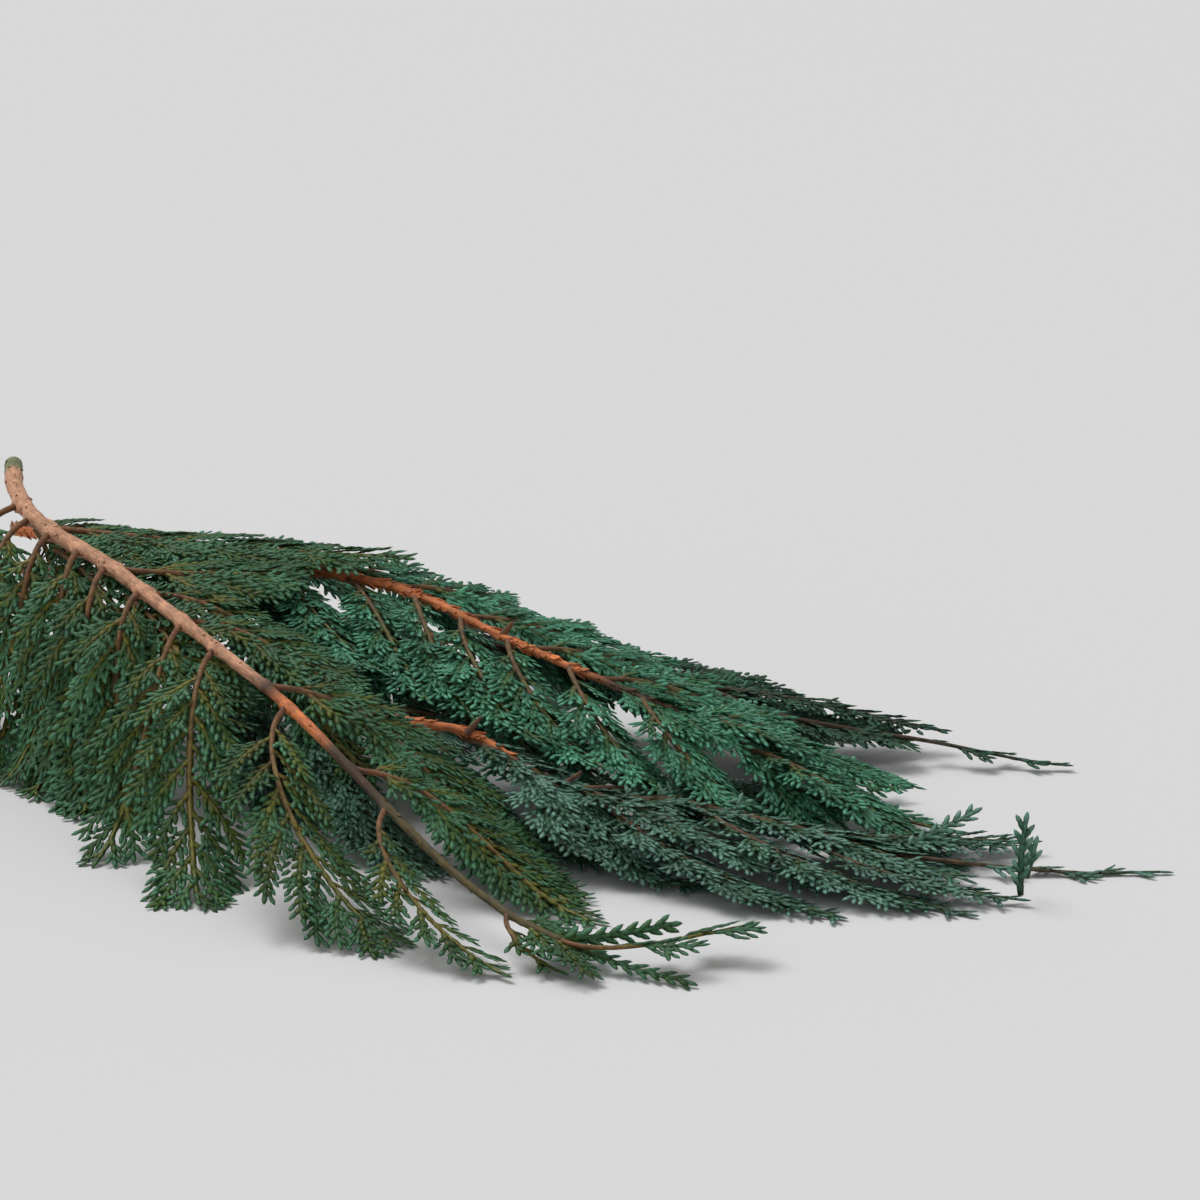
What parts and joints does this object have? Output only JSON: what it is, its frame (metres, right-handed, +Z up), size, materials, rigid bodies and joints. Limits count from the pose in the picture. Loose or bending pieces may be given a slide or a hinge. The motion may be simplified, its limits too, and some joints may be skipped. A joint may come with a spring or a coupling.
{
  "type": "preserved cedar bunch",
  "caption": "Loose bunch of preserved cedar branches lying down: woody orange-brown stems gathered at the cut end, with flat drooping sprays of green scale leaves.",
  "frame": {"origin": "on the table, under the middle of the bunch's box", "axes": "+X from the cut ends along the bunch to the tips, +Y away from the viewer, +Z up"},
  "size_m": [0.3807, 0.2967, 0.0717],
  "materials": {
    "front_bark": "matte",
    "front_foliage": "satin",
    "rear_bark": "matte",
    "rear_foliage": "satin",
    "middle_bark": "matte",
    "middle_foliage": "satin",
    "back_bark": "matte",
    "back_foliage": "satin"
  },
  "bodies": {
    "root": {"back_far_spray_1": "back_foliage", "back_far_spray_2": "back_foliage", "back_far_spray_3": "back_foliage", "back_near_spray_1": "back_foliage", "back_near_spray_2": "back_foliage", "back_stem": "back_bark", "back_tip_spray_1": "back_foliage", "front_far_spray_1": "front_foliage", "front_far_spray_2": "front_foliage", "front_far_spray_3": "front_foliage", "front_far_spray_4": "front_foliage", "front_far_spray_5": "front_foliage", "front_far_spray_6": "front_foliage", "front_near_spray_1": "front_foliage", "front_near_spray_10": "front_foliage", "front_near_spray_11": "front_foliage", "front_near_spray_2": "front_foliage", "front_near_spray_3": "front_foliage", "front_near_spray_4": "front_foliage", "front_near_spray_5": "front_foliage", "front_near_spray_6": "front_foliage", "front_near_spray_7": "front_foliage", "front_near_spray_8": "front_foliage", "front_near_spray_9": "front_foliage", "front_stem": "front_bark", "front_tip_spray_1": "front_foliage", "middle_far_spray_1": "middle_foliage", "middle_far_spray_2": "middle_foliage", "middle_far_spray_3": "middle_foliage", "middle_near_spray_1": "middle_foliage", "middle_near_spray_2": "middle_foliage", "middle_near_spray_3": "middle_foliage", "middle_near_spray_4": "middle_foliage", "middle_near_spray_5": "middle_foliage", "middle_near_spray_6": "middle_foliage", "middle_near_spray_7": "middle_foliage", "middle_near_spray_8": "middle_foliage", "middle_stem": "middle_bark", "middle_tip_spray_1": "middle_foliage", "rear_far_spray_1": "rear_foliage", "rear_far_spray_2": "rear_foliage", "rear_far_spray_3": "rear_foliage", "rear_far_spray_4": "rear_foliage", "rear_far_spray_5": "rear_foliage", "rear_far_spray_6": "rear_foliage", "rear_far_spray_7": "rear_foliage", "rear_far_spray_8": "rear_foliage", "rear_near_spray_1": "rear_foliage", "rear_near_spray_2": "rear_foliage", "rear_near_spray_3": "rear_foliage", "rear_near_spray_4": "rear_foliage", "rear_near_spray_5": "rear_foliage", "rear_near_spray_6": "rear_foliage", "rear_near_spray_7": "rear_foliage", "rear_near_spray_8": "rear_foliage", "rear_stem": "rear_bark", "rear_tip_spray_1": "rear_foliage"}
  },
  "joints": []
}
